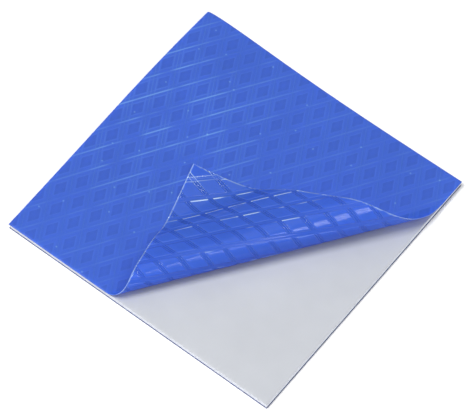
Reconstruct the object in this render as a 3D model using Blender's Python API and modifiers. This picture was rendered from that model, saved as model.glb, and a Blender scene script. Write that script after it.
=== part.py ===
"""Thermal pad sheet: a soft silicone pad between two embossed film liners.

The upper film is peeled from the near right corner and rolled back over the sheet.
Metres, +Z up. The origin is on the floor under the middle of the sheet.
"""
import math

import bmesh
import bpy
from mathutils import Vector

# Pad, a cut square of filled silicone
PAD_SIDE = 0.100
PAD_THICKNESS = 0.0015

# Films: the liner under the pad and the release film on it
LINER_THICKNESS = 0.0002
FILM_THICKNESS = 0.0002
FILM_OVERHANG = 0.0003
SEAT_GAP = 0.0003

# Hand cut edges: how far the left and the back edge swing out of a straight line
LEFT_BOW = 0.00065
BACK_BOW = 0.0005
LEFT_BOW_SKEW = 1.8
BACK_BOW_SKEW = 0.53
EDGE_POINTS = 14

# Peel line: where the film leaves the pad, as depths behind the peeled corner
FOLD_HEADING = math.radians(53.0)
PEEL_DEPTH_FRONT = 0.0498
PEEL_DEPTH_RIGHT = 0.0551

# Section of the roll and flap: arcs of a length and a turn in degrees, from the peel line on
FOLD_ARCS = (
    (0.004, 50.0),
    (0.007, 62.5),
    (0.005, 60.0),
    (0.004, 32.5),
    (0.008, -4.0),
    (0.008, 20.5),
    (0.008, -44.0),
    (0.014, -18.0),
)
ROLL_SCALE_FRONT = 0.65
ROLL_SCALE_RIGHT = 1.35

# Facets of the film
FLAT_STEP = 0.0100
ROLL_STEP = 0.0012
FLAP_STEP = 0.0030
CROSS_STEP = 0.0090
ROLL_ARC_COUNT = 4

FILM_SIDE = PAD_SIDE + 2 * FILM_OVERHANG
PAD_BOTTOM = LINER_THICKNESS + SEAT_GAP
PAD_TOP = PAD_BOTTOM + PAD_THICKNESS
FILM_MIDDLE = PAD_TOP + SEAT_GAP + FILM_THICKNESS / 2


def clear_scene():
    for thing in list(bpy.data.objects):
        bpy.data.objects.remove(thing, do_unlink=True)


def make_collection(name):
    collection = bpy.data.collections.new(name)
    bpy.context.scene.collection.children.link(collection)
    return collection


def make_material(name, colour, roughness):
    material = bpy.data.materials.new(name)
    material.use_nodes = True
    shader = material.node_tree.nodes["Principled BSDF"]
    shader.inputs["Base Color"].default_value = (*colour, 1.0)
    shader.inputs["Roughness"].default_value = roughness
    shader.inputs["Metallic"].default_value = 0.0
    return material


def bow(x, y, side):
    """Moves a point of a straight square of the given side to the hand cut outline."""
    across = x / side + 0.5
    up = y / side + 0.5
    left_swing = LEFT_BOW * math.sin(math.pi * max(up, 0.0) ** LEFT_BOW_SKEW)
    back_swing = BACK_BOW * math.sin(2 * math.pi * max(across, 0.0) ** BACK_BOW_SKEW)
    bowed_x = x - left_swing * (1 - across) ** 2 + LEFT_BOW / 2
    bowed_y = y + back_swing * up ** 2 - BACK_BOW / 2
    return bowed_x, bowed_y


def outline_points(side):
    """The cut outline, counter-clockwise from the left corner."""
    half = side / 2
    steps = [i / EDGE_POINTS for i in range(EDGE_POINTS)]
    front_and_right = [(-half, -half), (half, -half)]
    back = [(half - side * step, half) for step in steps]
    left = [(-half, half - side * step) for step in steps]
    return [bow(x, y, side) for x, y in front_and_right + back + left]


def make_sheet(name, side, bottom, thickness, material, collection):
    """A flat layer: the cut outline as a filled 2D curve with a thickness."""
    curve = bpy.data.curves.new(name, "CURVE")
    curve.dimensions = "2D"
    curve.fill_mode = "BOTH"
    curve.extrude = thickness / 2
    points = outline_points(side)
    spline = curve.splines.new("POLY")
    spline.points.add(len(points) - 1)
    for point, (x, y) in zip(spline.points, points):
        point.co = (x, y, 0.0, 1.0)
    spline.use_cyclic_u = True
    layer = bpy.data.objects.new(name, curve)
    layer.location.z = bottom + thickness / 2
    layer.data.materials.append(material)
    collection.objects.link(layer)
    return layer


def fold_axes():
    """Unit vectors along the fold and across it, towards the peeled corner."""
    along = Vector((math.cos(FOLD_HEADING), math.sin(FOLD_HEADING), 0.0))
    across = Vector((math.sin(FOLD_HEADING), -math.cos(FOLD_HEADING), 0.0))
    return along, across


def peeled_corner():
    x, y = bow(FILM_SIDE / 2, -FILM_SIDE / 2, FILM_SIDE)
    return Vector((x, y, 0.0))


def fold_ends():
    """Where the fold meets the front and the right edge, measured along it from the corner."""
    mean_depth = (PEEL_DEPTH_FRONT + PEEL_DEPTH_RIGHT) / 2
    front = -mean_depth / math.tan(FOLD_HEADING)
    right = mean_depth * math.tan(FOLD_HEADING)
    return front, right


def fold_section(run):
    """Reach across and rise of the film after a run of its length past the peel line."""
    reach = 0.0
    rise = 0.0
    angle = 0.0
    for index, (length, turn) in enumerate(FOLD_ARCS):
        last = index == len(FOLD_ARCS) - 1
        part = run if last else min(run, length)
        swept = math.radians(turn) * part / length
        radius = length / math.radians(turn)
        reach += radius * (math.sin(angle + swept) - math.sin(angle))
        rise += radius * (math.cos(angle) - math.cos(angle + swept))
        angle += swept
        run -= part
        if run <= 0.0:
            break
    return reach, rise


def bend(point):
    """Carries a point of the flat film over the roll."""
    along, across = fold_axes()
    corner = peeled_corner()
    offset = point - corner
    t = offset.dot(along)
    depth = -offset.dot(across)
    front, right = fold_ends()
    share = (t - front) / (right - front)
    peel_depth = PEEL_DEPTH_FRONT + (PEEL_DEPTH_RIGHT - PEEL_DEPTH_FRONT) * share
    scale = ROLL_SCALE_FRONT + (ROLL_SCALE_RIGHT - ROLL_SCALE_FRONT) * share
    run = peel_depth - depth
    if run <= 0.0:
        return point
    reach, rise = fold_section(run / scale)
    place = corner + along * t + across * (reach * scale - peel_depth)
    return Vector((place.x, place.y, point.z + rise * scale))


def steps_between(start, stop, step):
    count = max(1, round((stop - start) / step))
    return [start + (stop - start) * i / count for i in range(1, count + 1)]


def fold_cut_depths():
    """Depths of the cuts that run along the fold: close in the roll, wide on the flat."""
    scale = max(ROLL_SCALE_FRONT, ROLL_SCALE_RIGHT)
    deepest = max(PEEL_DEPTH_FRONT, PEEL_DEPTH_RIGHT)
    roll_end = deepest - scale * sum(length for length, _ in FOLD_ARCS[:ROLL_ARC_COUNT])
    flat_end = FILM_SIDE * (math.sin(FOLD_HEADING) + math.cos(FOLD_HEADING))
    return (
        steps_between(0.0, roll_end, FLAP_STEP)
        + steps_between(roll_end, deepest, ROLL_STEP)
        + steps_between(deepest, flat_end, FLAT_STEP)[:-1]
    )


def cut(mesh, place, normal):
    geometry = mesh.verts[:] + mesh.edges[:] + mesh.faces[:]
    bmesh.ops.bisect_plane(mesh, geom=geometry, plane_co=place, plane_no=normal, dist=1e-7)


def make_release_film(material, collection):
    """A square sheet cut along and across the fold, then bent and thickened."""
    along, across = fold_axes()
    half = FILM_SIDE / 2
    corner = Vector((half, -half, 0.0))
    mesh = bmesh.new()
    bmesh.ops.create_grid(mesh, x_segments=1, y_segments=1, size=half)
    for depth in fold_cut_depths():
        cut(mesh, corner - across * depth, across)
    low = -FILM_SIDE * math.cos(FOLD_HEADING)
    high = FILM_SIDE * math.sin(FOLD_HEADING)
    for t in steps_between(low, high, CROSS_STEP)[:-1]:
        cut(mesh, corner + along * t, along)
    for vertex in mesh.verts:
        x, y = bow(vertex.co.x, vertex.co.y, FILM_SIDE)
        vertex.co = bend(Vector((x, y, FILM_MIDDLE)))
    data = bpy.data.meshes.new("release_film")
    mesh.to_mesh(data)
    mesh.free()
    film = bpy.data.objects.new("release_film", data)
    film.data.materials.append(material)
    collection.objects.link(film)
    shell = film.modifiers.new("Film thickness", "SOLIDIFY")
    shell.thickness = FILM_THICKNESS
    shell.offset = 0.0
    film.data.shade_smooth()
    return film


def build():
    clear_scene()
    collection = make_collection("thermal_pad_sheet")
    liner_blue = make_material("liner_film", (0.05, 0.11, 0.47), 0.4)
    film_blue = make_material("release_film", (0.06, 0.14, 0.60), 0.3)
    pad_grey = make_material("silicone_pad", (0.60, 0.64, 0.67), 0.6)
    make_sheet("bottom_liner", FILM_SIDE, 0.0, LINER_THICKNESS, liner_blue, collection)
    make_sheet("thermal_pad", PAD_SIDE, PAD_BOTTOM, PAD_THICKNESS, pad_grey, collection)
    make_release_film(film_blue, collection)


build()
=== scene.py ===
"""Thermal pad sheet, dressed over its CAD frame.

A grey silicone pad lies between two blue embossed films. The upper one is peeled from
the near right corner and rolled back. Metres, +Z up, the same frame as the CAD model.
"""

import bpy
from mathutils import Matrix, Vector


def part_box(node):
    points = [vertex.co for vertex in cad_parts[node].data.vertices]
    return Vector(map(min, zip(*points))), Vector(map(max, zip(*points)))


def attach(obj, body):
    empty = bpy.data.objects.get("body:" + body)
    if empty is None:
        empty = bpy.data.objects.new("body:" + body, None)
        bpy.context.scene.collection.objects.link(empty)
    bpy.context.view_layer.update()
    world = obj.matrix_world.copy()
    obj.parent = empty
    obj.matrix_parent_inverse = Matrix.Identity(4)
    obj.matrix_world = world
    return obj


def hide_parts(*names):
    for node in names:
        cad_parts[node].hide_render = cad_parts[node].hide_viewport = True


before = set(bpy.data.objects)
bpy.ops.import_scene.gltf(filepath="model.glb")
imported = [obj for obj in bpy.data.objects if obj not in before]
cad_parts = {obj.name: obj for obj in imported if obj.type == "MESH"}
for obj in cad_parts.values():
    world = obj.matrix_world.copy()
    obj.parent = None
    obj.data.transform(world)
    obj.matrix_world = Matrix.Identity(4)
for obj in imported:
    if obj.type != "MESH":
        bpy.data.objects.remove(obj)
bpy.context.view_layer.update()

import math

import bmesh
import bpy
from mathutils import Matrix, Vector

bl_info = {
    "name": "Thermal Pad Sheet",
    "version": (1, 0, 0),
    "blender": (4, 5, 0),
    "location": "3D View > Sidebar > Thermal Pad",
    "description": "Adds a silicone thermal pad between embossed films, one film peeled back",
    "category": "Add Mesh",
}

MM = 0.001

# Outline of the sheet, cut by hand: how far two edges swing out of a straight line
PAD_SIDE = 100.0 * MM
FILM_SIDE = 100.57 * MM
LINER_SIDE = 100.35 * MM
LEFT_BOW = 0.65 * MM
BACK_BOW = 0.50 * MM
LEFT_BOW_SKEW = 1.8
BACK_BOW_SKEW = 0.53

# Heights of the layers: the pad sags towards its liner, and embossing holds the film off it
LINER_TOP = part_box("bottom_liner")[1].z
PAD_SAG = 0.2 * MM
PAD_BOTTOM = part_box("thermal_pad")[0].z - PAD_SAG
PAD_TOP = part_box("thermal_pad")[1].z
FILM_LOFT = 0.4 * MM
FILM_MIDDLE = PAD_TOP + FILM_LOFT

# Cut edges: the narrow strips along them, the pad's rounding, and how near counts as the edge
FILM_STRIP = 0.5 * MM
PAD_STRIP = 0.25 * MM
PAD_EDGE_DROP = 0.12 * MM
PAD_EDGE_REACH = 0.05 * MM
FILM_EDGE_REACH = 0.1 * MM

# Peel line and roll: depths behind the corner, then arcs of a length and a turn in degrees
FOLD_HEADING = math.radians(53.0)
PEEL_DEPTH_FRONT = 49.8 * MM
PEEL_DEPTH_RIGHT = 55.1 * MM
FOLD_ARCS = (
    (4 * MM, 50.0),
    (7 * MM, 62.5),
    (5 * MM, 60.0),
    (4 * MM, 32.5),
    (8 * MM, -4.0),
    (8 * MM, 20.5),
    (8 * MM, -44.0),
    (14 * MM, -18.0),
)
ROLL_SCALE_FRONT = 0.65
ROLL_SCALE_RIGHT = 1.35

# Length of film over which the embossing recovers its height next to the peel line
FREE_LENGTH = 6 * MM

# Embossing: two families of bands, each a pitch, the heading of its lines and a start, and
# how many cells the uncut web reaches to each side of the middle
BAND_A_PITCH = 6.436 * MM
BAND_A_HEADING = math.radians(57.66)
BAND_A_START = 0.0
BAND_B_PITCH = 6.262 * MM
BAND_B_HEADING = math.radians(118.19)
BAND_B_START = 0.77
CELL_REACH = 12

# Where a cell's bevel starts and ends, as shares of the pitch from the band's middle line:
# pressed flat between the band and the pad, and sprung back on the peeled film. The meshes
# have their lines at these shares. Cells grow shallow within a short way of a cut edge
PRESSED_BEVEL = (0.21, 0.28)
FREE_BEVEL = (0.10, 0.16)
MESH_OFFSETS = (-0.28, -0.21, -0.16, -0.10, 0.0, 0.10, 0.16, 0.21, 0.28, 0.50)
COARSE_OFFSETS = (-0.28, -0.21, 0.0, 0.21, 0.28, 0.50)
CELL_FADE = 1.0 * MM

# Sizes of the film's patterns: broad clouds in its blue, patches where painted glints show, the
# way from one speck of dust to the next, and the unevenness of thin film with its height
CLOUD_SIZE = 28 * MM
PATCH_SIZE = 9 * MM
DUST_SPACING = 13 * MM
FILM_GRAIN = 2.2 * MM
FILM_GRAIN_HEIGHT = 0.05 * MM

# Sizes of the pad's patterns
PAD_CLOUD_SIZE = 18 * MM
PAD_GRAIN = 0.8 * MM
PAD_GRAIN_HEIGHT = 0.02 * MM

# A dust speck's radius, fading from the first to the second, as shares of the dust's spacing
SPECK_FADE = (0.010, 0.03)

# Tone of the film, 0 for a look's first relief shade and 1 for its second: what there is
# everywhere, what a cell's floor adds to the painted shade of the relief and what the clouds add
BASE_TONE = 0.10
CELL_TONE = -0.45
CLOUD_TONE = 1.2

# How sunk a cell looks in its middle, as a share of how sunk it looks beside its bevel
CELL_MIDDLE = 0.7

# Painted highlight along a cell's outline, as brightness by how far the film has sunk towards
# the cell's floor
RIM_HIGHLIGHT_PROFILE = ((0.0, 0.0), (0.10, 1.0), (0.40, 0.0))

# Painted glints on the lines of a band at the flap's tip, as brightness by distance in pitches
TIP_GLINT_PROFILE = ((0.0, 0.3), (0.03, 0.0), (0.08, 0.0), (0.11, 1.0), (0.15, 0.0))

# Where glints are painted at the tip of the peeled corner: a place on the flap and a reach
TIP_GLINT_SPOT = (Vector((-18.0, 1.0, 5.3)) * MM, 10 * MM)

# The two looks of the film, as it lies pressed and on the glossier side that was peeled.
# ridges: height of the fine lines that the roller leaves in a band, for each family, by the
#   distance from the band's middle line as a share of the pitch
# painted_glints: brightness of the glints painted along the lines, for each family, by the
#   distance from a line that lies beside the middle line by glint_shifts
# joined: how the two families' lines meet where they cross
# bevel: where a cell's bevel starts and ends, as above
# relief_shades: painted shade of the relief, first of the cells' floors, then of the bands, as
# shares of the film's colour
# pale: colour of the painted highlights and glints, and of dust
# highlights_and_dust: what paints the film pale, each with its weight: painted highlights and
# glints, the painted light of the cut edge, and real dust
# patch_seed, patch_fade: the noise by which the painted glints come and go, and where it fades
# glint_spot, glints_elsewhere: where the painted glints stand out most, and the share of them
# that shows elsewhere
PRESSED_LOOK = {
    "ridges": (
        ((0.0, 1.0), (0.08, 0.0), (0.15, 0.0), (0.20, 0.2), (0.25, 0.0)),
        ((0.0, 1.0), (0.05, 0.0), (0.13, 0.0), (0.18, 0.4), (0.23, 0.0)),
    ),
    # Painted glints, brightest on the A lines towards the back left of the sheet
    "painted_glints": (
        ((0.0, 1.0), (0.02, 0.9), (0.05, 0.05), (0.15, 0.0), (0.19, 0.3), (0.23, 0.0)),
        ((0.0, 0.2), (0.05, 0.0), (0.14, 0.0), (0.18, 0.3), (0.22, 0.0)),
    ),
    "glint_shifts": (0.0, 0.0),
    "joined": "MAXIMUM",
    "bevel": PRESSED_BEVEL,
    # Painted shade: the sunk cell floors darker than the bands
    "relief_shades": (0.84, 1.09),
    "pale": "#9CDCFF",
    # The outside is painted paler as painted glints, as painted highlights on its ridges and
    # cells' rims, and under real dust
    "highlights_and_dust": {"painted_glints": 0.34, "ridges": 0.035, "rim_highlights": 0.10, "dust": 0.35},
    "patch_seed": 0.0,
    "patch_fade": (0.35, 0.60),
    "glint_spot": (Vector((-41.0, 12.0, 2.0)) * MM, 42 * MM),
    "glints_elsewhere": 0.2,
}
PEELED_LOOK = {
    "ridges": (
        ((0.0, 0.2), (0.06, 0.0), (0.10, 0.15), (0.16, 1.0)),
        ((0.0, 0.0), (0.05, 0.9), (0.10, 0.0), (0.15, 1.0)),
    ),
    # Painted glints: bright dashes along the A lines of the flap
    "painted_glints": (
        ((0.0, 1.0), (0.02, 1.0), (0.045, 0.0)),
        ((0.10, 0.0), (0.13, 1.0)),
    ),
    "glint_shifts": (0.15, 0.0),
    "joined": "MINIMUM",
    "bevel": FREE_BEVEL,
    # Painted shade: the bands darker than the raised cells
    "relief_shades": (1.06, 0.87),
    "pale": "#C4E0FF",
    # The inside is painted paler as painted glints, painted rim highlights, painted glints at
    # the tip and painted light along the cut edge
    "highlights_and_dust": {"painted_glints": 1.3, "rim_highlights": 0.20, "tip_glints": 0.7, "cut_edge": 0.8},
    "patch_seed": 3.4,
    "patch_fade": (0.45, 0.58),
    "glint_spot": (Vector((4.0, -4.0, 10.0)) * MM, 27 * MM),
    "glints_elsewhere": 0.0,
}

# Studio: half the floor's side in metres, its clearance, and the soft boxes' distance
FLOOR_REACH = 3.0
FLOOR_GAP = 0.05 * MM
LAMP_DISTANCE = 1.2

# Camera of the photograph, angles in degrees
CAMERA_AZIMUTH = 33.932
CAMERA_ELEVATION = 59.925
CAMERA_ROLL = 4.264
CAMERA_DISTANCE = 1195.036 * MM
CAMERA_TARGET = (0.026 * MM, -1.564 * MM, 0.0)
LENS_LENGTH = 296.68
SENSOR_WIDTH = 36.0


def linear(hex_colour):
    """Linear RGB of an sRGB hex colour."""
    shares = [int(hex_colour[i:i + 2], 16) / 255 for i in (1, 3, 5)]
    return tuple(s / 12.92 if s <= 0.04045 else ((s + 0.055) / 1.055) ** 2.4 for s in shares)


def shaded(colour, shade):
    return tuple(min(1.0, channel * shade) for channel in colour)


def greys(profile):
    """Colour stops for a profile of positions and heights."""
    return [(position, (height, height, height)) for position, height in profile]


def add_node(tree, kind, inputs=None, stops=(), interpolation="LINEAR", **settings):
    """Adds a node with its settings. Each input is a value, or an output to link to it."""
    made = tree.nodes.new(kind)
    for name, value in settings.items():
        setattr(made, name, value)
    for socket, value in (inputs or {}).items():
        if isinstance(value, bpy.types.NodeSocket):
            tree.links.new(value, made.inputs[socket])
        else:
            made.inputs[socket].default_value = value
    if stops:
        made.color_ramp.interpolation = interpolation
        elements = made.color_ramp.elements
        while len(elements) < len(stops):
            elements.new(0.5)
        for element, (position, colour) in zip(elements, stops):
            element.position = position
            element.color = (*colour, 1.0)
    return made


def start_material(name, **values):
    """A new material, its node tree and its Principled shader with the given values."""
    material = bpy.data.materials.new(name)
    material.use_nodes = True
    tree = material.node_tree
    shader = tree.nodes["Principled BSDF"]
    for socket, value in values.items():
        shader.inputs[socket.replace("_", " ")].default_value = value
    return material, tree, shader


def lattice_axes():
    """Vectors whose dot product with a place on the sheet gives its phase in each family."""
    axes = []
    for pitch, heading in ((BAND_A_PITCH, BAND_A_HEADING), (BAND_B_PITCH, BAND_B_HEADING)):
        axes.append(Vector((math.sin(heading), -math.cos(heading))) / pitch)
    return axes


def lattice_phases(x, y):
    """Phases of a place in both families of bands, whole numbers on a band's middle line."""
    axis_a, axis_b = lattice_axes()
    place = Vector((x, y))
    return axis_a.dot(place) - BAND_A_START, axis_b.dot(place) - BAND_B_START


def sunk_share(phase, bevel):
    """How far the film has sunk towards a cell's floor, seen along one family."""
    away = abs(phase - round(phase))
    start, stop = bevel
    return min(1.0, max(0.0, (away - start) / (stop - start)))


def relief(x, y, bevel):
    """Share of the cell's depth at a place of the flat sheet, 0 on the bands."""
    a, b = lattice_phases(x, y)
    return sunk_share(a, bevel) * sunk_share(b, bevel)


def bow(x, y, side):
    """Moves a point of a straight square of the given side to the hand cut outline."""
    across = x / side + 0.5
    up = y / side + 0.5
    left_swing = LEFT_BOW * math.sin(math.pi * max(up, 0.0) ** LEFT_BOW_SKEW)
    back_swing = BACK_BOW * math.sin(2 * math.pi * max(across, 0.0) ** BACK_BOW_SKEW)
    bowed_x = x - left_swing * (1 - across) ** 2 + LEFT_BOW / 2
    bowed_y = y + back_swing * up ** 2 - BACK_BOW / 2
    return bowed_x, bowed_y


def fold_section(run):
    """Reach, rise and slope of the film after a run of its length past the peel line."""
    reach = 0.0
    rise = 0.0
    angle = 0.0
    for index, (length, turn) in enumerate(FOLD_ARCS):
        last = index == len(FOLD_ARCS) - 1
        part = run if last else min(run, length)
        swept = math.radians(turn) * part / length
        radius = length / math.radians(turn)
        reach += radius * (math.sin(angle + swept) - math.sin(angle))
        rise += radius * (math.cos(angle) - math.cos(angle + swept))
        angle += swept
        run -= part
        if run <= 0.0:
            break
    return reach, rise, angle


class Fold:
    """Carries points of the flat film over the roll."""

    def __init__(self):
        self.along = Vector((math.cos(FOLD_HEADING), math.sin(FOLD_HEADING), 0.0))
        self.across = Vector((math.sin(FOLD_HEADING), -math.cos(FOLD_HEADING), 0.0))
        self.corner = Vector((*bow(FILM_SIDE / 2, -FILM_SIDE / 2, FILM_SIDE), 0.0))
        mean_depth = (PEEL_DEPTH_FRONT + PEEL_DEPTH_RIGHT) / 2
        self.front = -mean_depth / math.tan(FOLD_HEADING)
        self.right = mean_depth * math.tan(FOLD_HEADING)

    def peel(self, x, y):
        """Place along the fold, depth of the peel line there, and share of the way along it."""
        offset = Vector((x, y, 0.0)) - self.corner
        t = offset.dot(self.along)
        share = (t - self.front) / (self.right - self.front)
        peel_depth = PEEL_DEPTH_FRONT + (PEEL_DEPTH_RIGHT - PEEL_DEPTH_FRONT) * share
        return t, peel_depth, share

    def run(self, x, y):
        """Length of film from the peel line to the point, negative where it is still flat."""
        _, peel_depth, _ = self.peel(x, y)
        return peel_depth + (Vector((x, y, 0.0)) - self.corner).dot(self.across)

    def place(self, x, y, middle, lift):
        """Place of the film's point (x, y), lifted off its middle surface."""
        t, peel_depth, share = self.peel(x, y)
        run = self.run(x, y)
        if run <= 0.0:
            return Vector((x, y, middle + lift))
        scale = ROLL_SCALE_FRONT + (ROLL_SCALE_RIGHT - ROLL_SCALE_FRONT) * share
        reach, rise, angle = fold_section(run / scale)
        spot = self.corner + self.along * t + self.across * (reach * scale - peel_depth)
        spot.z = middle + rise * scale
        normal = Vector((0.0, 0.0, math.cos(angle))) - self.across * math.sin(angle)
        return spot + normal * lift


def cut(mesh, place, normal, clear=False):
    """Cuts the mesh along a plane, and clears what lies past it where that is asked."""
    geometry = mesh.verts[:] + mesh.edges[:] + mesh.faces[:]
    bmesh.ops.bisect_plane(
        mesh, geom=geometry, plane_co=place, plane_no=normal, dist=1e-8, clear_outer=clear
    )


def lattice_sheet(side, offsets, strip):
    """A straight square sheet whose edges follow the embossing, with a strip along its rim."""
    phases = [cell + offset for cell in range(-CELL_REACH, CELL_REACH) for offset in offsets]
    count = len(phases) - 1
    axis_a, axis_b = lattice_axes()
    to_place = Matrix((axis_a, axis_b)).inverted()
    mesh = bmesh.new()
    bmesh.ops.create_grid(mesh, x_segments=count, y_segments=count, size=1.0)
    for vertex in mesh.verts:
        a = phases[round((vertex.co.x + 1) / 2 * count)] + BAND_A_START
        b = phases[round((vertex.co.y + 1) / 2 * count)] + BAND_B_START
        spot = to_place @ Vector((a, b))
        vertex.co = (spot.x, spot.y, 0.0)
    outward = [Vector(way) for way in ((1, 0, 0), (-1, 0, 0), (0, 1, 0), (0, -1, 0))]
    for normal in outward:
        cut(mesh, normal * side / 2, normal, clear=True)
    for normal in outward:
        cut(mesh, normal * (side / 2 - strip), normal)
    return mesh


def to_edge(x, y, side):
    """Distance from a point of the straight square to its nearest edge."""
    return side / 2 - max(abs(x), abs(y))


def mark_places(mesh, side):
    """Stores the phases and the cut edge of the still flat sheet, for the film's material."""
    phases = mesh.loops.layers.uv.new("lattice")
    cut_edge = mesh.verts.layers.float.new("cut_edge")
    for face in mesh.faces:
        for loop in face.loops:
            x, y, _ = loop.vert.co
            loop[phases].uv = lattice_phases(x, y)
    for vertex in mesh.verts:
        x, y, _ = vertex.co
        vertex[cut_edge] = 1.0 if to_edge(x, y, side) < FILM_EDGE_REACH else 0.0


def mark_corners(mesh, degrees):
    """Marks edges that turn by more than the angle as sharp."""
    for edge in mesh.edges:
        if len(edge.link_faces) == 2 and edge.calc_face_angle(0.0) > math.radians(degrees):
            edge.smooth = False


def add_piece(name, mesh, materials, node):
    """Makes an object of the mesh that stands for a CAD node and rides on its body."""
    data = bpy.data.meshes.new(name)
    mesh.to_mesh(data)
    mesh.free()
    data.shade_smooth()
    for material in materials:
        data.materials.append(material)
    piece = bpy.data.objects.new(name, data)
    bpy.context.scene.collection.objects.link(piece)
    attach(piece, "root")
    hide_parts(node)
    return piece


def add_gauge(film, gauge):
    """Thickens a film both ways. Its materials are the upper face, the lower one and the cut."""
    shell = film.modifiers.new("Film gauge", "SOLIDIFY")
    shell.thickness = gauge
    shell.offset = 0.0
    shell.material_offset = 1
    shell.material_offset_rim = 2


class FilmPatterns:
    """Patterns of one face of the film, as outputs in its material's node tree."""

    def __init__(self, tree, look):
        self.tree = tree
        self.look = look
        self.place = add_node(tree, "ShaderNodeTexCoord").outputs["Object"]
        lattice = add_node(tree, "ShaderNodeUVMap", uv_map="lattice").outputs["UV"]
        self.phases = add_node(tree, "ShaderNodeSeparateXYZ", {"Vector": lattice}).outputs
        self.ridges = self.across_bands(look["ridges"], look["joined"])
        start, stop = look["bevel"]
        sunk = ((start, 0.0), (stop, 1.0), (0.5, CELL_MIDDLE))
        self.floors = self.across_bands((sunk, sunk), "MULTIPLY")
        # Painted highlights along the cells' outlines, where the bevels would catch the light
        inputs = {"Fac": self.floors}
        rim_highlights = add_node(tree, "ShaderNodeValToRGB", inputs, greys(RIM_HIGHLIGHT_PROFILE), "EASE")
        self.rim_highlights = rim_highlights.outputs["Color"]

    def across_bands(self, profiles, joined, shifts=(0.0, 0.0)):
        """A profile across each family of bands, by the distance from its nearest line."""
        heights = {}
        for index, (profile, shift) in enumerate(zip(profiles, shifts)):
            inputs = {0: self.phases[index], 1: shift}
            shifted = add_node(self.tree, "ShaderNodeMath", inputs, operation="ADD")
            inputs = {0: shifted.outputs["Value"], 1: 0.5}
            away = add_node(self.tree, "ShaderNodeMath", inputs, operation="PINGPONG")
            inputs = {"Fac": away.outputs["Value"]}
            ramp = add_node(self.tree, "ShaderNodeValToRGB", inputs, greys(profile), "EASE")
            heights[index] = ramp.outputs["Color"]
        return add_node(self.tree, "ShaderNodeMath", heights, operation=joined).outputs["Value"]

    def near(self, spot, beyond):
        """1 near a spot, which is a place and a reach, and the share beyond it elsewhere."""
        middle, reach = spot
        inputs = {0: self.place, 1: middle}
        away = add_node(self.tree, "ShaderNodeVectorMath", inputs, operation="DISTANCE")
        fade = {"From Min": 0.4 * reach, "From Max": reach, "To Min": 1.0, "To Max": beyond}
        inputs = {"Value": away.outputs["Value"], **fade}
        return add_node(self.tree, "ShaderNodeMapRange", inputs).outputs["Result"]

    def painted_glints(self):
        """Painted glints along the bands' lines, which come and go along their length and fade
        away from the glint spot.
        """
        look = self.look
        seen = self.across_bands(look["painted_glints"], look["joined"], look["glint_shifts"])
        inputs = {
            "Vector": self.place,
            "W": look["patch_seed"],
            "Scale": 1 / PATCH_SIZE,
            "Detail": 1.0,
        }
        noise = add_node(self.tree, "ShaderNodeTexNoise", inputs, noise_dimensions="4D")
        inputs = {"Fac": noise.outputs["Fac"]}
        stops = greys(zip(look["patch_fade"], (0.0, 1.0)))
        patches = add_node(self.tree, "ShaderNodeValToRGB", inputs, stops, "EASE")
        glint_spot = self.near(look["glint_spot"], look["glints_elsewhere"])
        for mask in (glint_spot, patches.outputs["Color"]):
            inputs = {0: seen, 1: mask}
            masked = add_node(self.tree, "ShaderNodeMath", inputs, operation="MULTIPLY")
            seen = masked.outputs["Value"]
        return seen

    def tip_glints(self):
        """Painted glints on every line near the flap's tip, the painted rim highlights among
        them.
        """
        lines = self.across_bands((TIP_GLINT_PROFILE, TIP_GLINT_PROFILE), "MAXIMUM")
        inputs = {0: lines, 1: self.rim_highlights}
        all_lines = add_node(self.tree, "ShaderNodeMath", inputs, operation="MAXIMUM")
        inputs = {0: all_lines.outputs["Value"], 1: self.near(TIP_GLINT_SPOT, 0.0)}
        tip_glints = add_node(self.tree, "ShaderNodeMath", inputs, operation="MULTIPLY")
        return tip_glints.outputs["Value"]

    def cut_edge(self):
        """Painted light along the film's cut edge, a pale line where its edge would carry light.
        """
        marked = add_node(self.tree, "ShaderNodeAttribute", attribute_name="cut_edge")
        return marked.outputs["Fac"]

    def dust(self):
        """Specks of dust about half a millimetre wide, a finger's width apart."""
        inputs = {"Vector": self.place, "Scale": 1 / DUST_SPACING}
        specks = add_node(self.tree, "ShaderNodeTexVoronoi", inputs, voronoi_dimensions="2D")
        near, far = SPECK_FADE
        fade = {"From Min": near, "From Max": far, "To Min": 1.0, "To Max": 0.0}
        inputs = {"Value": specks.outputs["Distance"], **fade}
        return add_node(self.tree, "ShaderNodeMapRange", inputs).outputs["Result"]

    def highlight_and_dust_share(self):
        """How pale the film is painted, summed from painted highlights, glints, the cut edge's
        painted light and real dust.
        """
        causes = {
            "painted_glints": self.painted_glints,
            "ridges": lambda: self.ridges,
            "rim_highlights": lambda: self.rim_highlights,
            "tip_glints": self.tip_glints,
            "cut_edge": self.cut_edge,
            "dust": self.dust,
        }
        total = 0.0
        for cause, weight in self.look["highlights_and_dust"].items():
            inputs = {0: causes[cause](), 1: weight, 2: total}
            summed = add_node(
                self.tree, "ShaderNodeMath", inputs, operation="MULTIPLY_ADD", use_clamp=True
            )
            total = summed.outputs["Value"]
        return total

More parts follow.
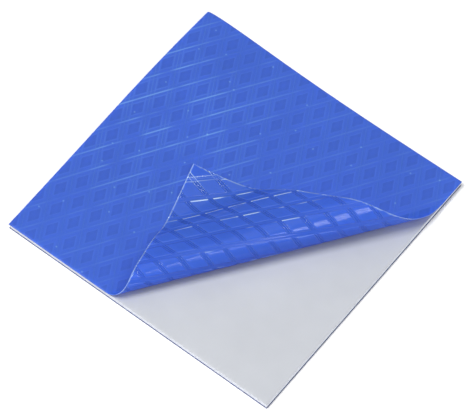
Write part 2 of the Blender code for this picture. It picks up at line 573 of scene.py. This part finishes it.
    def blue(self, colour):
        """Painted shade of the relief darkens the pressed film's cell floors and the peeled
        film's bands, and pigment and gauge drift in broad clouds.
        """
        inputs = {
            "Vector": self.place,
            "Scale": 1 / CLOUD_SIZE,
            "Detail": 6.0,
            "Roughness": 0.7,
        }
        clouds = add_node(self.tree, "ShaderNodeTexNoise", inputs)
        inputs = {0: self.floors, 1: CELL_TONE, 2: BASE_TONE}
        tone = add_node(self.tree, "ShaderNodeMath", inputs, operation="MULTIPLY_ADD")
        inputs = {0: clouds.outputs["Fac"], 1: CLOUD_TONE, 2: tone.outputs["Value"]}
        tone = add_node(self.tree, "ShaderNodeMath", inputs, operation="MULTIPLY_ADD")
        first_shade, second_shade = self.look["relief_shades"]
        stops = ((0.0, shaded(colour, first_shade)), (1.0, shaded(colour, second_shade)))
        inputs = {"Fac": tone.outputs["Value"]}
        return add_node(self.tree, "ShaderNodeValToRGB", inputs, stops).outputs["Color"]

    def normal(self, line_height):
        """Fine lines of the bands, and below them the slight unevenness of thin film."""
        inputs = {"Vector": self.place, "Scale": 1 / FILM_GRAIN, "Detail": 2.0}
        grain = add_node(self.tree, "ShaderNodeTexNoise", inputs)
        inputs = {
            "Height": grain.outputs["Fac"],
            "Strength": 0.3,
            "Distance": FILM_GRAIN_HEIGHT,
        }
        uneven = add_node(self.tree, "ShaderNodeBump", inputs)
        inputs = {
            "Height": self.ridges,
            "Strength": 1.0,
            "Distance": line_height,
            "Normal": uneven.outputs["Normal"],
        }
        return add_node(self.tree, "ShaderNodeBump", inputs).outputs["Normal"]


def film_material(name, look, colour, roughness, line_height, see_through=0.0):
    """Polyethylene film, embossed between rollers: saturated blue with a soft plastic gloss."""
    material, tree, shader = start_material(name, Roughness=roughness, IOR=1.50)
    patterns = FilmPatterns(tree, look)
    highlight_and_dust_share = patterns.highlight_and_dust_share()
    normal = patterns.normal(line_height)
    # The pale colour carries the painted highlights and glints, and real dust
    pale = (*linear(look["pale"]), 1.0)
    inputs = {"Fac": highlight_and_dust_share, "Color1": patterns.blue(colour), "Color2": pale}
    paled = add_node(tree, "ShaderNodeMixRGB", inputs).outputs["Color"]
    tree.links.new(paled, shader.inputs["Base Color"])
    tree.links.new(normal, shader.inputs["Normal"])
    if see_through > 0.0:
        # Thin film lets part of the light through, which keeps the shaded side of the roll
        # blue. Less light passes where highlights are painted and where dust lies, which keeps
        # them bright
        inputs = {0: highlight_and_dust_share, 1: -see_through, 2: see_through}
        share = add_node(tree, "ShaderNodeMath", inputs, operation="MULTIPLY_ADD")
        inputs = {"Color": paled, "Normal": normal}
        through = add_node(tree, "ShaderNodeBsdfTranslucent", inputs).outputs["BSDF"]
        inputs = {0: share.outputs["Value"], 1: shader.outputs["BSDF"], 2: through}
        mixed = add_node(tree, "ShaderNodeMixShader", inputs).outputs["Shader"]
        tree.links.new(mixed, tree.nodes["Material Output"].inputs["Surface"])
    return material


def edge_material(name, colour):
    """The cut face of a film, matt: pale as painted light on the upper film, dark as painted
    shade on the liner.
    """
    material, _, _ = start_material(name, Base_Color=(*colour, 1.0), Roughness=0.5)
    return material


def pad_material(name, colour):
    """Silicone filled with ceramic powder, calendered: opaque grey, matt and slightly tacky."""
    material, tree, shader = start_material(name, Roughness=0.55, IOR=1.41)
    place = add_node(tree, "ShaderNodeTexCoord").outputs["Object"]
    inputs = {"Vector": place, "Scale": 1 / PAD_CLOUD_SIZE, "Detail": 4.0}
    clouds = add_node(tree, "ShaderNodeTexNoise", inputs).outputs["Fac"]
    stops = ((0.3, shaded(colour, 0.97)), (0.7, shaded(colour, 1.03)))
    grey = add_node(tree, "ShaderNodeValToRGB", {"Fac": clouds}, stops).outputs["Color"]
    tree.links.new(grey, shader.inputs["Base Color"])
    # The powder's own grit is far too fine to show, so it is drawn as coarse as the pixels
    inputs = {"Vector": place, "Scale": 1 / PAD_GRAIN, "Detail": 3.0}
    grain = add_node(tree, "ShaderNodeTexNoise", inputs).outputs["Fac"]
    inputs = {"Height": grain, "Strength": 0.25, "Distance": PAD_GRAIN_HEIGHT}
    bump = add_node(tree, "ShaderNodeBump", inputs).outputs["Normal"]
    tree.links.new(bump, shader.inputs["Normal"])
    return material


class ThermalPadSettings(bpy.types.PropertyGroup):
    """Sizes and colours of the films and the pad"""

    film_colour: bpy.props.FloatVectorProperty(
        name="Film colour",
        description="Colour of the upper film on its outside",
        subtype="COLOR",
        size=3,
        min=0.0,
        max=1.0,
        default=linear("#5C8FF4"),
    )
    # The glossier face's blue, made brighter than the outside's: partly painted light, for the
    # light that the thin film lets through
    inside_lit_colour: bpy.props.FloatVectorProperty(
        name="Inside colour",
        description="Colour of the upper film's glossier face, which lay on the pad",
        subtype="COLOR",
        size=3,
        min=0.0,
        max=1.0,
        default=linear("#6094FC"),
    )
    # The upper film's cut face is painted pale: painted light
    lit_cut_colour: bpy.props.FloatVectorProperty(
        name="Cut colour",
        description="Colour of the upper film's cut edge",
        subtype="COLOR",
        size=3,
        min=0.0,
        max=1.0,
        default=linear("#8FAAF4"),
    )
    # The liner's blue is painted dark: painted shade, as the liner lies in the pad's shadow on
    # the floor
    liner_shaded_colour: bpy.props.FloatVectorProperty(
        name="Liner colour",
        description="Colour of the lower film, darker as it lies on the floor",
        subtype="COLOR",
        size=3,
        min=0.0,
        max=1.0,
        default=linear("#1C3580"),
    )
    see_through: bpy.props.FloatProperty(
        name="See through",
        description="Share of the light that each face of the upper film passes on",
        default=0.6,
        min=0.0,
        max=1.0,
        subtype="FACTOR",
    )
    film_gauge: bpy.props.FloatProperty(
        name="Film gauge",
        description="Thickness of the film itself, without its embossing",
        default=0.1 * MM,
        min=0.02 * MM,
        max=0.2 * MM,
        subtype="DISTANCE",
        unit="LENGTH",
        precision=5,
    )
    line_height: bpy.props.FloatProperty(
        name="Line height",
        description="Height of the fine lines in the bands of the peeled film",
        default=0.18 * MM,
        min=0.0,
        max=0.3 * MM,
        subtype="DISTANCE",
        unit="LENGTH",
        precision=5,
    )
    cell_depth: bpy.props.FloatProperty(
        name="Cell depth",
        description="How far each diamond cell sinks below the bands of the peeled film",
        default=0.05 * MM,
        min=0.0,
        max=0.20 * MM,
        subtype="DISTANCE",
        unit="LENGTH",
        precision=5,
    )
    pressed_depth: bpy.props.FloatProperty(
        name="Pressed depth",
        description="What is left of the cell depth where the film lies on the pad",
        default=0.04 * MM,
        min=0.0,
        max=0.10 * MM,
        subtype="DISTANCE",
        unit="LENGTH",
        precision=5,
    )
    edge_curl: bpy.props.FloatProperty(
        name="Edge curl",
        description="How far the blade has pressed the film's cut edge towards the pad",
        default=0.10 * MM,
        min=0.0,
        max=0.15 * MM,
        subtype="DISTANCE",
        unit="LENGTH",
        precision=5,
    )
    pad_colour: bpy.props.FloatVectorProperty(
        name="Pad colour",
        description="Colour of the filled silicone",
        subtype="COLOR",
        size=3,
        min=0.0,
        max=1.0,
        default=linear("#BFC2C8"),
    )
    # The pad's sides are painted lighter than its top: painted light
    pad_lit_cut_colour: bpy.props.FloatVectorProperty(
        name="Pad cut colour",
        description="Colour of the pad's freshly cut sides",
        subtype="COLOR",
        size=3,
        min=0.0,
        max=1.0,
        default=linear("#E6EAF4"),
    )
    imprint: bpy.props.FloatProperty(
        name="Imprint",
        description="Depth of the marks that the film's embossing leaves in the pad",
        default=0.03 * MM,
        min=0.0,
        max=0.1 * MM,
        subtype="DISTANCE",
        unit="LENGTH",
        precision=5,
    )


class StageSettings(bpy.types.PropertyGroup):
    """Floor and lights"""

    floor_colour: bpy.props.FloatVectorProperty(
        name="Floor colour",
        description="Colour of the paper that the sheet lies on",
        subtype="COLOR",
        size=3,
        min=0.0,
        max=1.0,
        default=linear("#FDFDFD"),
    )
    surround: bpy.props.FloatProperty(
        name="Surround",
        description="Brightness of the white surroundings",
        default=0.15,
        min=0.0,
        max=3.0,
    )
    back_power: bpy.props.FloatProperty(
        name="Back light",
        description="Power of the large soft box behind the sheet",
        default=1.8,
        min=0.0,
        max=100.0,
        unit="POWER",
    )
    fill_power: bpy.props.FloatProperty(
        name="Fill light",
        description="Power of the low soft box in front of the roll",
        default=2.9,
        min=0.0,
        max=100.0,
        unit="POWER",
    )
    key_power: bpy.props.FloatProperty(
        name="Key light",
        description="Power of the soft box in front of the left corner",
        default=10.8,
        min=0.0,
        max=100.0,
        unit="POWER",
    )
    front_power: bpy.props.FloatProperty(
        name="Front light",
        description="Power of the narrow soft box on the right",
        default=3.3,
        min=0.0,
        max=100.0,
        unit="POWER",
    )


class MESH_OT_release_film(bpy.types.Operator):
    """Adds the upper film, embossed and peeled back from the near right corner"""

    bl_idname = "mesh.release_film"
    bl_label = "Release Film"
    bl_options = {"REGISTER", "UNDO"}

    def execute(self, context):
        settings = context.scene.thermal_pad
        fold = Fold()
        mesh = lattice_sheet(FILM_SIDE, MESH_OFFSETS, FILM_STRIP)
        mark_places(mesh, FILM_SIDE)
        for vertex in mesh.verts:
            x, y, _ = vertex.co
            bowed_x, bowed_y = bow(x, y, FILM_SIDE)
            free = min(1.0, max(0.0, fold.run(bowed_x, bowed_y) / FREE_LENGTH + 0.5))
            pressed_depth = settings.pressed_depth * relief(x, y, PRESSED_BEVEL)
            free_depth = settings.cell_depth * (relief(x, y, FREE_BEVEL) - 0.5)
            inset = to_edge(x, y, FILM_SIDE)
            sunk = (1 - free) * pressed_depth + free * free_depth
            lift = -sunk * min(1.0, inset / CELL_FADE)
            if inset < FILM_STRIP / 2:
                lift -= (1 - free) * settings.edge_curl
            vertex.co = fold.place(bowed_x, bowed_y, FILM_MIDDLE, lift)
        line = settings.line_height
        materials = [
            film_material(
                "embossed_film_outside",
                PRESSED_LOOK,
                settings.film_colour[:],
                roughness=0.30,
                line_height=line / 5,
                see_through=settings.see_through,
            ),
            film_material(
                "embossed_film_inside",
                PEELED_LOOK,
                settings.inside_lit_colour[:],
                roughness=0.13,
                line_height=line,
                see_through=settings.see_through,
            ),
            # Its cut face carries painted light
            edge_material("film_lit_cut_edge", settings.lit_cut_colour[:]),
        ]
        film = add_piece("release_film_embossed", mesh, materials, "release_film")
        add_gauge(film, settings.film_gauge)
        return {"FINISHED"}


class MESH_OT_silicone_pad(bpy.types.Operator):
    """Adds the grey pad with rounded cut edges and the faint imprint of the film"""

    bl_idname = "mesh.silicone_pad"
    bl_label = "Silicone Pad"
    bl_options = {"REGISTER", "UNDO"}

    def execute(self, context):
        settings = context.scene.thermal_pad
        mesh = lattice_sheet(PAD_SIDE, COARSE_OFFSETS, PAD_STRIP)
        top = mesh.verts[:]
        made = bmesh.ops.extrude_face_region(mesh, geom=mesh.faces[:])
        bottom = [item for item in made["geom"] if isinstance(item, bmesh.types.BMVert)]
        for vertex in top:
            x, y, _ = vertex.co
            pressed = settings.imprint * (relief(x, y, PRESSED_BEVEL) - 1)
            drop = PAD_EDGE_DROP if to_edge(x, y, PAD_SIDE) < PAD_EDGE_REACH else 0.0
            vertex.co = (*bow(x, y, PAD_SIDE), PAD_TOP + pressed - drop)
        for vertex in bottom:
            x, y, _ = vertex.co
            vertex.co = (*bow(x, y, PAD_SIDE), PAD_BOTTOM)
        bmesh.ops.recalc_face_normals(mesh, faces=mesh.faces[:])
        # Upright faces, the pad's sides, take the lighter colour as painted light
        for face in mesh.faces:
            upright = abs(face.normal.z) < 0.5
            face.material_index = 1 if upright else 0
        mark_corners(mesh, degrees=50.0)
        materials = [
            pad_material("filled_silicone", settings.pad_colour[:]),
            pad_material("filled_silicone_lit_cut", settings.pad_lit_cut_colour[:]),
        ]
        add_piece("silicone_pad_sheet", mesh, materials, "thermal_pad")
        return {"FINISHED"}


class MESH_OT_liner_film(bpy.types.Operator):
    """Adds the lower film, of the same embossed stock as the release film"""

    bl_idname = "mesh.liner_film"
    bl_label = "Liner Film"
    bl_options = {"REGISTER", "UNDO"}

    def execute(self, context):
        settings = context.scene.thermal_pad
        mesh = lattice_sheet(LINER_SIDE, COARSE_OFFSETS, FILM_STRIP)
        mark_places(mesh, LINER_SIDE)
        for vertex in mesh.verts:
            x, y, _ = vertex.co
            raised = settings.pressed_depth * (0.5 - relief(x, y, PRESSED_BEVEL))
            vertex.co = (*bow(x, y, LINER_SIDE), LINER_TOP / 2 - raised)
        # The liner's colour, cut face included, is darkened by painted shade
        colour = settings.liner_shaded_colour[:]
        line = settings.line_height / 4
        materials = [
            film_material("liner_film_inside", PRESSED_LOOK, colour, 0.30, line),
            film_material("liner_film_outside", PRESSED_LOOK, colour, 0.35, line),
            edge_material("liner_shaded_cut_edge", colour),
        ]
        liner = add_piece("liner_film_embossed", mesh, materials, "bottom_liner")
        add_gauge(liner, settings.film_gauge)
        return {"FINISHED"}


def way_to(azimuth, elevation):
    """Unit vector from the sheet towards a viewer or a lamp, by its angles in degrees."""
    side = math.radians(azimuth)
    up = math.radians(elevation)
    return Vector((math.sin(side) * math.cos(up), -math.cos(side) * math.cos(up), math.sin(up)))


class SCENE_OT_thermal_pad_stage(bpy.types.Operator):
    """Adds the pale floor, the soft lights and the camera"""

    bl_idname = "scene.thermal_pad_stage"
    bl_label = "Studio Stage"
    bl_options = {"REGISTER", "UNDO"}

    def execute(self, context):
        settings = context.scene.thermal_pad_stage
        context.scene.view_settings.view_transform = "Standard"
        self.add_floor(settings)
        self.add_surround(context, settings)
        self.add_soft_box("key_light", 323.0, 68.0, (0.45, 0.45), settings.key_power)
        self.add_soft_box("front_light", 70.0, 62.0, (0.18, 0.60), settings.front_power)
        self.add_soft_box("back_light", 214.0, 60.0, (0.8, 0.8), settings.back_power)
        # The fill light lifts the roll's shaded side and leaves no highlight of its own
        fill = self.add_soft_box("fill_light", 53.0, 15.0, (1.2, 0.6), settings.fill_power)
        fill.visible_glossy = False
        self.add_camera(context)
        return {"FINISHED"}

    def add_floor(self, settings):
        """Matt white paper, larger than the view from any side."""
        mesh = bmesh.new()
        bmesh.ops.create_grid(mesh, x_segments=1, y_segments=1, size=FLOOR_REACH)
        data = bpy.data.meshes.new("paper_floor")
        mesh.to_mesh(data)
        mesh.free()
        paper, _, _ = start_material(
            "matt_paper", Base_Color=(*settings.floor_colour[:], 1.0), Roughness=0.95
        )
        data.materials.append(paper)
        floor = bpy.data.objects.new("paper_floor", data)
        floor.location.z = -FLOOR_GAP
        bpy.context.scene.collection.objects.link(floor)

    def add_surround(self, context, settings):
        """Even white light from all around."""
        world = bpy.data.worlds.new("white_surround")
        world.use_nodes = True
        background = world.node_tree.nodes["Background"]
        background.inputs["Color"].default_value = (1.0, 1.0, 1.0, 1.0)
        background.inputs["Strength"].default_value = settings.surround
        context.scene.world = world

    def add_soft_box(self, name, azimuth, elevation, size, power):
        """A soft box aimed at the sheet, by its angles in degrees and its size in metres."""
        way = way_to(azimuth, elevation)
        data = bpy.data.lights.new(name, "AREA")
        data.shape = "RECTANGLE"
        data.size, data.size_y = size
        data.energy = power
        lamp = bpy.data.objects.new(name, data)
        lamp.location = way * LAMP_DISTANCE
        lamp.rotation_mode = "QUATERNION"
        lamp.rotation_quaternion = way.to_track_quat("Z", "Y")
        lamp.visible_camera = False
        bpy.context.scene.collection.objects.link(lamp)
        return lamp

    def add_camera(self, context):
        """A long lens high over the near edge, turned a little, as the photograph was taken."""
        turn = math.radians(CAMERA_ROLL)
        target = Vector(CAMERA_TARGET)
        back = way_to(CAMERA_AZIMUTH, CAMERA_ELEVATION)
        right = Vector((0.0, 0.0, 1.0)).cross(back).normalized()
        above = back.cross(right)
        turned_right = right * math.cos(turn) + above * math.sin(turn)
        turned_above = above * math.cos(turn) - right * math.sin(turn)
        axes = Matrix((turned_right, turned_above, back)).transposed()
        data = bpy.data.cameras.new("photo_camera")
        data.sensor_fit = "HORIZONTAL"
        data.sensor_width = SENSOR_WIDTH
        data.lens = LENS_LENGTH
        data.clip_start = 0.05
        data.clip_end = 20.0
        camera = bpy.data.objects.new("photo_camera", data)
        camera.matrix_world = Matrix.Translation(target + back * CAMERA_DISTANCE) @ axes.to_4x4()
        context.scene.collection.objects.link(camera)
        context.scene.camera = camera


class VIEW3D_PT_thermal_pad(bpy.types.Panel):
    """Buttons and settings of the thermal pad sheet"""

    bl_idname = "VIEW3D_PT_thermal_pad"
    bl_label = "Thermal Pad Sheet"
    bl_space_type = "VIEW_3D"
    bl_region_type = "UI"
    bl_category = "Thermal Pad"

    def draw(self, context):
        layout = self.layout
        for operator in OPERATORS:
            layout.operator(operator.bl_idname)
        for settings in (context.scene.thermal_pad, context.scene.thermal_pad_stage):
            box = layout.box()
            for name in settings.bl_rna.properties.keys():
                if name not in ("rna_type", "name"):
                    box.prop(settings, name)


OPERATORS = (
    MESH_OT_liner_film,
    MESH_OT_silicone_pad,
    MESH_OT_release_film,
    SCENE_OT_thermal_pad_stage,
)
CLASSES = (ThermalPadSettings, StageSettings, *OPERATORS, VIEW3D_PT_thermal_pad)


def register():
    for item in CLASSES:
        bpy.utils.register_class(item)
    bpy.types.Scene.thermal_pad = bpy.props.PointerProperty(type=ThermalPadSettings)
    bpy.types.Scene.thermal_pad_stage = bpy.props.PointerProperty(type=StageSettings)


def unregister():
    del bpy.types.Scene.thermal_pad_stage
    del bpy.types.Scene.thermal_pad
    for item in reversed(CLASSES):
        bpy.utils.unregister_class(item)


def main():
    register()
    bpy.ops.mesh.liner_film()
    bpy.ops.mesh.silicone_pad()
    bpy.ops.mesh.release_film()
    bpy.ops.scene.thermal_pad_stage()


if __name__ == "__main__":
    main()
